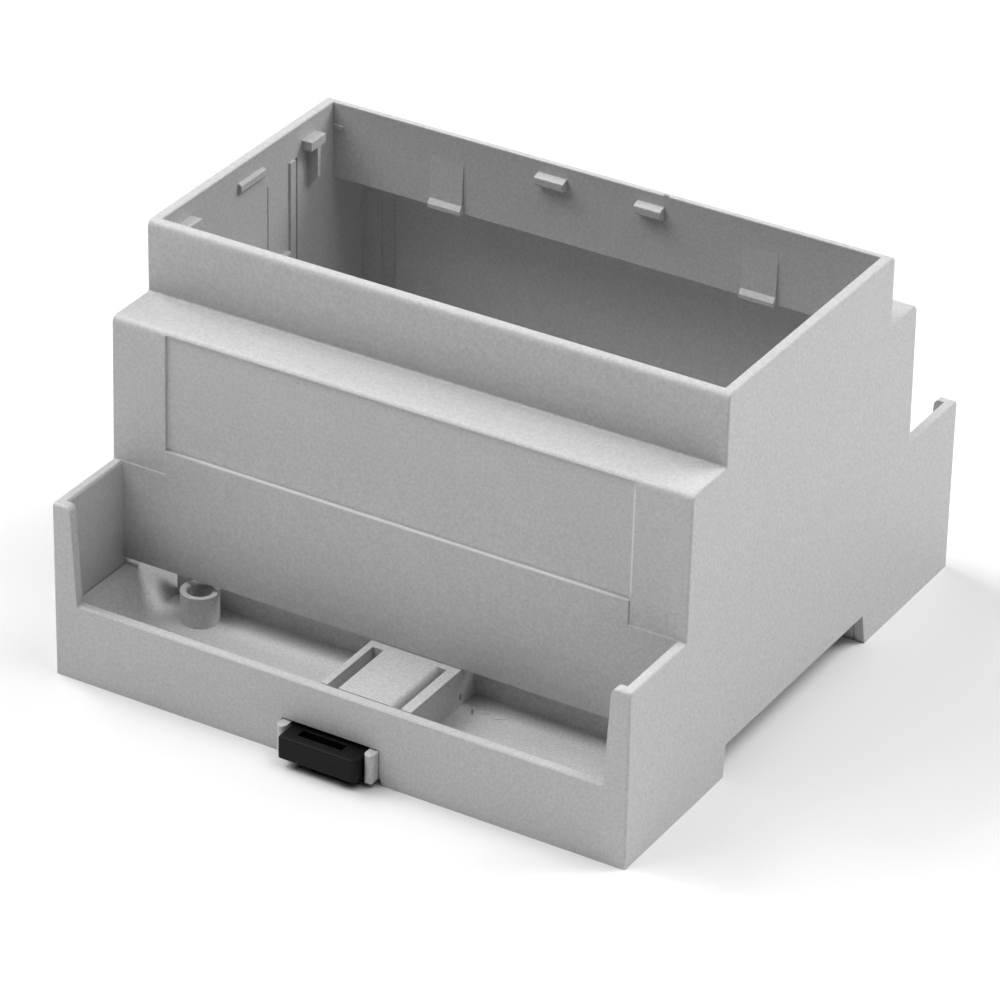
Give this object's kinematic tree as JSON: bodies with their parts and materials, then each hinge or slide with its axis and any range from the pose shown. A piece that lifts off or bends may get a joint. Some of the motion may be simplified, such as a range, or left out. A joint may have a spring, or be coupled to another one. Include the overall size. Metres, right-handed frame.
{
  "type": "DIN rail enclosure",
  "caption": "Open-topped stepped DIN rail housing with terminal bays, a moulded base and a black sliding rail latch.",
  "frame": {"origin": "on the rail seat, at mid width and mid depth", "axes": "+X along the rail, +Y from the latch side to the fixed hooks, +Z away from the rail"},
  "size_m": [0.088, 0.0934, 0.0585],
  "materials": {
    "housing_grey": "fine matt mould texture",
    "base_grey": "smoother satin",
    "latch_black": "satin"
  },
  "bodies": {
    "enclosure": {"housing": "housing_grey", "base": "base_grey"},
    "latch": {"rail_latch": "latch_black"}
  },
  "joints": [
    {"name": "latch_slide", "type": "slide", "parent": "enclosure", "child": "latch", "axis": [0, -1, 0], "range_m": [0, 0.004], "stiffness_N_per_m": 1500}
  ]
}
